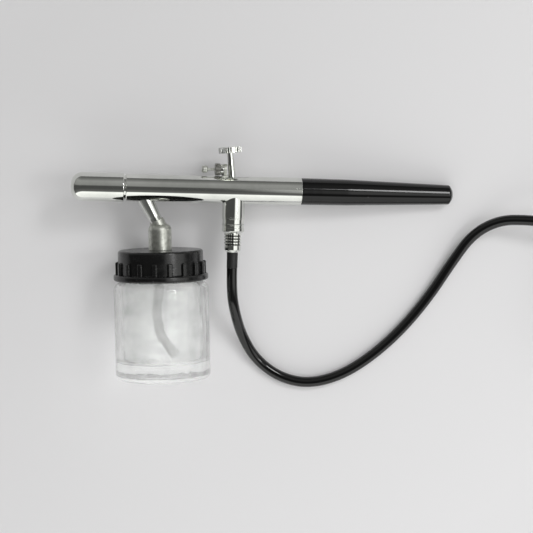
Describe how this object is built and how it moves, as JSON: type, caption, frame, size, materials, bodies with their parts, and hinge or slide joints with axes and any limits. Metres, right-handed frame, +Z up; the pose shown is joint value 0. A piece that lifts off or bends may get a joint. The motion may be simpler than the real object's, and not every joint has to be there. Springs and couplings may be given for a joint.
{
  "type": "airbrush gun",
  "caption": "Bottom-feed dual-action airbrush with a screw-lid glass paint jar on an angled paint pipe, trigger with line-adjusting screw, air valve and thin coiled air hose.",
  "frame": {"origin": "bottom centre of the airbrush's box as it lies on a table, hose left out", "axes": "+X from nose to tail (barrel yawed and tipped a few degrees so that the tail touches the table), +Y towards the trigger along the jar's axis, +Z up"},
  "size_m": [0.2498, 0.1189, 0.036],
  "materials": {
    "chrome": "mirror chrome plate",
    "nickel": "satin nickel plate, lightly mottled",
    "dark_nickel": "darkened knurled nickel",
    "steel": "drawn stainless wire",
    "brass": "turned brass",
    "handle_black": "polished black",
    "lid_black": "semi-gloss moulded black",
    "glass": "clear pressed glass",
    "clear_tube": "translucent grey plastic",
    "white_seal": "white low-friction seal",
    "rubber_seal": "black rubber",
    "hose_black": "glossy black vinyl",
    "sleeve_black": "matte black sleeve"
  },
  "bodies": {
    "barrel": {"barrel": "chrome", "spray_head": "chrome", "nozzle": "brass", "nozzle_seal": "white_seal", "needle_packing": "white_seal", "packing_screw": "brass", "spring_screw": "brass", "needle_spring": "steel", "stop_bracket": "nickel", "lock_ring": "chrome", "valve_body": "chrome", "valve_screw": "brass", "valve_spring": "steel", "hose_connector": "chrome", "hose_barb": "brass", "hose_sleeve": "sleeve_black", "hose": "hose_black", "hose_coil": "hose_black", "coil_tie": "sleeve_black", "hose_tail": "hose_black", "hose_ferrule": "chrome", "swivel_tail": "chrome"},
    "nose_cap": {"nose_cap": "chrome"},
    "needle": {"needle": "steel", "needle_tube": "brass", "rocker": "brass", "needle_chuck": "brass"},
    "plunger": {"valve_plunger": "brass", "valve_seal": "rubber_seal"},
    "lever": {"finger_lever": "chrome", "trigger_button": "chrome"},
    "line_screw": {"line_screw": "nickel"},
    "line_wheel": {"line_wheel": "dark_nickel"},
    "handle": {"handle": "handle_black"},
    "hose_nut": {"hose_nut": "chrome"},
    "paint_pipe": {"siphon_pipe": "chrome"},
    "jar_lid": {"adaptor": "nickel", "adaptor_nut": "nickel", "lid": "lid_black", "lid_gasket": "white_seal", "dip_tube": "clear_tube"},
    "jar": {"jar": "glass"},
    "swivel_nut": {"swivel_nut": "chrome"}
  },
  "joints": [
    {"name": "cap_pull", "type": "slide", "parent": "barrel", "child": "nose_cap", "axis": [-0.9904, 0.0459, 0.1303], "range_m": [0, 0.03]},
    {"name": "valve_press", "type": "slide", "parent": "barrel", "child": "plunger", "axis": [-0.0455, -0.9989, 0.006], "range_m": [0, 0.0012], "stiffness_N_per_m": 1200, "springref_m": -0.0008, "deforming": ["valve_spring"]},
    {"name": "lever_rock", "type": "hinge", "parent": "plunger", "child": "lever", "pos_m": [-0.01155, 0.0243, 0.01458], "axis": [-0.1305, 0, -0.9915], "range_deg": [0, 28]},
    {"name": "needle_slide", "type": "slide", "parent": "barrel", "child": "needle", "axis": [0.9904, -0.0459, -0.1303], "range_m": [0, 0.00293], "stiffness_N_per_m": 500, "springref_m": -0.001, "deforming": ["needle_spring"]},
    {"name": "line_wheel_turn", "type": "hinge", "parent": "barrel", "child": "line_wheel", "pos_m": [-0.01839, 0.03518, 0.01548], "axis": [0.9904, -0.0459, -0.1303], "range_deg": [0, 1081]},
    {"name": "line_screw_slide", "type": "slide", "parent": "barrel", "child": "line_screw", "axis": [-0.9904, 0.0459, 0.1303], "range_m": [0, 0.0015]},
    {"name": "handle_pull", "type": "slide", "parent": "barrel", "child": "handle", "axis": [0.9904, -0.0459, -0.1303], "range_m": [0, 0.06]},
    {"name": "jar_pull", "type": "slide", "parent": "barrel", "child": "paint_pipe", "axis": [0.4295, -0.9013, -0.0565], "range_m": [0, 0.008]},
    {"name": "jar_swivel", "type": "hinge", "parent": "paint_pipe", "child": "jar_lid", "pos_m": [-0.04179, 0.01814, 0.01856], "axis": [0.4295, -0.9013, -0.0565], "range_deg": [-30, 30]},
    {"name": "jar_unscrew", "type": "slide", "parent": "jar_lid", "child": "jar", "axis": [0, -1, 0], "range_m": [0, 0.05]},
    {"name": "hose_nut_turn", "type": "hinge", "parent": "barrel", "child": "hose_nut", "pos_m": [-0.01232, 0.00722, 0.01468], "axis": [0.0455, 0.9989, -0.006], "continuous": true},
    {"name": "swivel_nut_turn", "type": "hinge", "parent": "barrel", "child": "swivel_nut", "pos_m": [0.16974, -0.06959, 0.0065], "axis": [0, -1, 0], "continuous": true}
  ],
  "couplings": [
    {"joint": "lever_rock", "follows": "needle_slide", "rad_per_m": 166.67},
    {"joint": "line_wheel_turn", "follows": "line_screw_slide", "rad_per_m": 12566}
  ]
}
